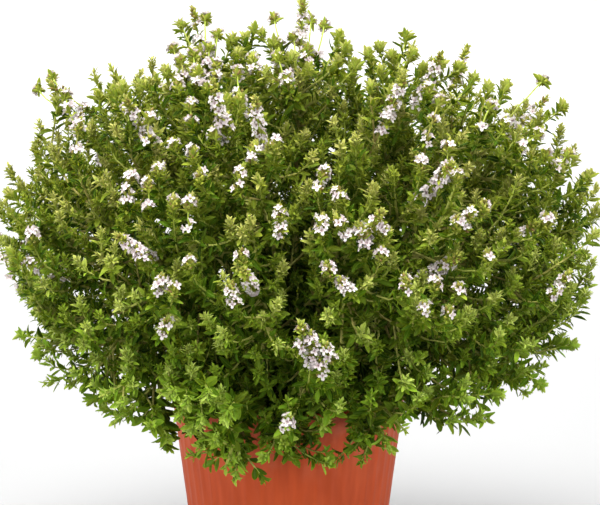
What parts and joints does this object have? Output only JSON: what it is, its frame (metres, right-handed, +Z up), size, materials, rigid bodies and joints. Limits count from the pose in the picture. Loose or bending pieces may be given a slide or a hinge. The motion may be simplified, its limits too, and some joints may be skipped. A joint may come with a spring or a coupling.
{
  "type": "potted thyme",
  "caption": "Bushy flowering thyme in a round tapered pot with fine flutes: leafy sprays stand in soil, with flower spikes on their tips.",
  "frame": {"origin": "centre of the pot's flat underside, on the pot's axis", "axes": "+Z up along the pot's axis, -Y toward the front of the plant, +X to the right seen from the front"},
  "size_m": [0.3199, 0.3187, 0.3344],
  "materials": {
    "pot_plastic": "satin",
    "soil": "matte",
    "foliage": "satin",
    "petals": "matte"
  },
  "bodies": {
    "root": {"pot": "pot_plastic", "soil": "soil", "spray_01": "foliage", "spray_02": "foliage", "spray_03": "foliage", "spray_04": "foliage", "spray_05": "foliage", "spray_06": "foliage", "spray_07": "foliage", "spray_08": "foliage", "spray_09": "foliage", "spray_10": "foliage", "spray_11": "foliage", "spray_12": "foliage", "spray_13": "foliage", "spray_14": "foliage", "spray_15": "foliage", "spray_16": "foliage", "spray_17": "foliage", "spray_18": "foliage", "spray_19": "foliage", "spray_20": "foliage", "spray_21": "foliage", "spray_22": "foliage", "spray_23": "foliage", "spray_24": "foliage", "spray_25": "foliage", "spray_26": "foliage", "spray_27": "foliage", "spray_28": "foliage", "spray_29": "foliage", "spray_30": "foliage", "spray_31": "foliage", "spray_32": "foliage", "bloom_01": "petals", "bloom_02": "petals", "bloom_03": "petals", "bloom_04": "petals", "bloom_05": "petals", "bloom_06": "petals", "bloom_07": "petals", "bloom_08": "petals", "bloom_09": "petals", "bloom_10": "petals", "bloom_11": "petals", "bloom_12": "petals", "bloom_13": "petals", "bloom_14": "petals", "bloom_15": "petals", "bloom_16": "petals", "bloom_17": "petals", "bloom_18": "petals", "bloom_19": "petals", "bloom_20": "petals", "bloom_21": "petals", "bloom_22": "petals", "bloom_23": "petals", "bloom_24": "petals", "bloom_25": "petals", "bloom_26": "petals"}
  },
  "joints": []
}
